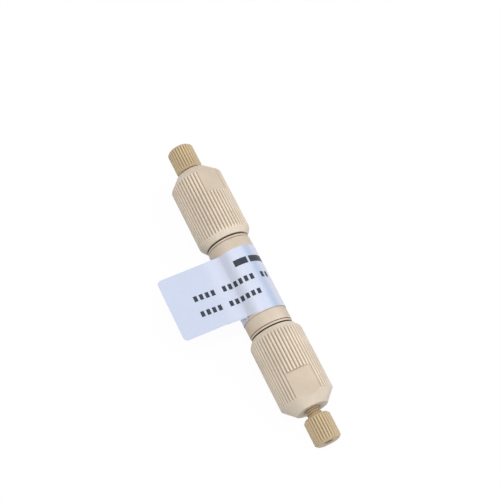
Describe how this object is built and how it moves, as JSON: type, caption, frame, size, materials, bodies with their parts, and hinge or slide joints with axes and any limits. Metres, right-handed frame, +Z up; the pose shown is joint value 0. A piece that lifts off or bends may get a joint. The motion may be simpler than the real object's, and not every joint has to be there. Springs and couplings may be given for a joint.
{
  "type": "hplc column",
  "caption": "Slim plastic chromatography column with fluted screw-on end nuts, frits, finger-tight stop plugs in its ports and a wrap-round flag label.",
  "frame": {"origin": "on the column's axis, at the middle of the packed bed", "axes": "+X along the column to its outlet, +Z up as it lies; the label's flag stands off towards -Y"},
  "size_m": [0.1085, 0.0352, 0.0174],
  "materials": {
    "tube_plastic": "satin turned",
    "nut_plastic": "satin moulded",
    "plug_plastic": "satin moulded",
    "ring_plastic": "satin turned",
    "frit_plastic": "porous",
    "packing": "packed beads",
    "label_film": "semi-gloss film"
  },
  "bodies": {
    "column": {"column_tube": "tube_plastic", "packed_bed": "packing", "flag_label": "label_film"},
    "inlet_bed_support": {"inlet_frit_ring": "ring_plastic", "inlet_frit": "frit_plastic"},
    "inlet_end_nut": {"inlet_end_nut": "nut_plastic"},
    "inlet_plug": {"inlet_plug": "plug_plastic"},
    "outlet_bed_support": {"outlet_frit_ring": "ring_plastic", "outlet_frit": "frit_plastic"},
    "outlet_end_nut": {"outlet_end_nut": "nut_plastic"},
    "outlet_plug": {"outlet_plug": "plug_plastic"}
  },
  "joints": [
    {"name": "inlet_nut_travel", "type": "slide", "parent": "column", "child": "inlet_bed_support", "axis": [-1, 0, 0], "range_m": [0, 0.0084]},
    {"name": "inlet_nut_turn", "type": "hinge", "parent": "inlet_bed_support", "child": "inlet_end_nut", "pos_m": [-0.03, 0, 0], "axis": [-1, 0, 0], "range_deg": [0, 3024]},
    {"name": "inlet_plug_travel", "type": "slide", "parent": "inlet_end_nut", "child": "inlet_plug", "axis": [-1, 0, 0], "range_m": [0, 0.0115]},
    {"name": "outlet_nut_travel", "type": "slide", "parent": "column", "child": "outlet_bed_support", "axis": [1, 0, 0], "range_m": [0, 0.0084]},
    {"name": "outlet_nut_turn", "type": "hinge", "parent": "outlet_bed_support", "child": "outlet_end_nut", "pos_m": [0.03, 0, 0], "axis": [1, 0, 0], "range_deg": [0, 3024]},
    {"name": "outlet_plug_travel", "type": "slide", "parent": "outlet_end_nut", "child": "outlet_plug", "axis": [1, 0, 0], "range_m": [-0.0013, 0.0102]}
  ],
  "couplings": [
    {"joint": "inlet_nut_travel", "follows": "inlet_nut_turn", "m_per_rad": 0.00015915},
    {"joint": "outlet_nut_travel", "follows": "outlet_nut_turn", "m_per_rad": 0.00015915}
  ]
}
